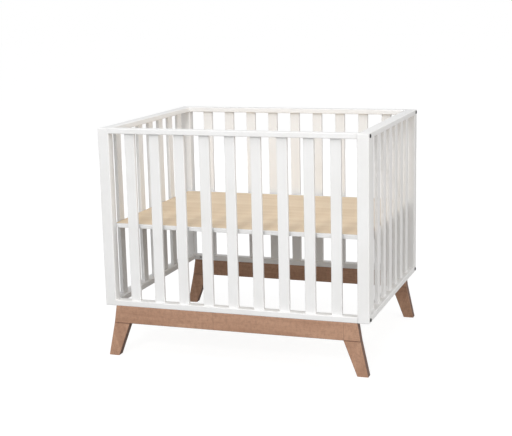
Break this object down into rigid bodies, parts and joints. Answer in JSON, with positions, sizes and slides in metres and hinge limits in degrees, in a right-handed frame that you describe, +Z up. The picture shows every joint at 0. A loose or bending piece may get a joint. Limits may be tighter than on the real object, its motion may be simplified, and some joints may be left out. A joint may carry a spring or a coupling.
{
  "type": "baby crib",
  "caption": "Slatted white baby crib with a lift-out bed base, on a wooden stand with splayed legs.",
  "frame": {"origin": "on the floor, under the middle of the crib", "axes": "+X along the front to the right, -Y is the front, +Z up"},
  "size_m": [1.05, 0.832, 0.885],
  "materials": {
    "white_lacquer": "satin lacquer",
    "stained_wood": "matte oil, fine grain",
    "light_wood": "satin, grain along the length",
    "black_steel": "satin black",
    "zinc_steel": "zinc plated",
    "white_steel": "white powder coat",
    "dowel_wood": "plain, unfinished"
  },
  "bodies": {
    "frame": {"front_top_rail": "white_lacquer", "front_bottom_rail": "white_lacquer", "rear_top_rail": "white_lacquer", "rear_bottom_rail": "white_lacquer", "left_top_rail": "white_lacquer", "left_bottom_rail": "white_lacquer", "right_top_rail": "white_lacquer", "right_bottom_rail": "white_lacquer", "front_left_post": "white_lacquer", "front_right_post": "white_lacquer", "rear_left_post": "white_lacquer", "rear_right_post": "white_lacquer", "front_slat_1": "white_lacquer", "front_slat_2": "white_lacquer", "front_slat_3": "white_lacquer", "front_slat_4": "white_lacquer", "front_slat_5": "white_lacquer", "front_slat_6": "white_lacquer", "front_slat_7": "white_lacquer", "front_slat_8": "white_lacquer", "front_slat_9": "white_lacquer", "rear_slat_1": "white_lacquer", "rear_slat_2": "white_lacquer", "rear_slat_3": "white_lacquer", "rear_slat_4": "white_lacquer", "rear_slat_5": "white_lacquer", "rear_slat_6": "white_lacquer", "rear_slat_7": "white_lacquer", "rear_slat_8": "white_lacquer", "rear_slat_9": "white_lacquer", "left_slat_1": "white_lacquer", "left_slat_2": "white_lacquer", "left_slat_3": "white_lacquer", "left_slat_4": "white_lacquer", "left_slat_5": "white_lacquer", "left_slat_6": "white_lacquer", "left_slat_7": "white_lacquer", "right_slat_1": "white_lacquer", "right_slat_2": "white_lacquer", "right_slat_3": "white_lacquer", "right_slat_4": "white_lacquer", "right_slat_5": "white_lacquer", "right_slat_6": "white_lacquer", "right_slat_7": "white_lacquer", "front_base_rail": "stained_wood", "rear_base_rail": "stained_wood", "front_left_leg": "stained_wood", "front_right_leg": "stained_wood", "rear_left_leg": "stained_wood", "rear_right_leg": "stained_wood", "corner_bolts": "black_steel", "barrel_nuts": "zinc_steel", "frame_dowels": "dowel_wood", "leg_dowels": "dowel_wood", "base_rail_screws": "zinc_steel", "bed_brackets": "white_steel", "bracket_screws": "zinc_steel"},
    "bed_base": {"base_board": "light_wood", "base_lipping": "white_lacquer"}
  },
  "joints": [
    {"name": "bed_base_lift", "type": "slide", "parent": "frame", "child": "bed_base", "axis": [0, 0, 1], "range_m": [0, 0.349]}
  ]
}
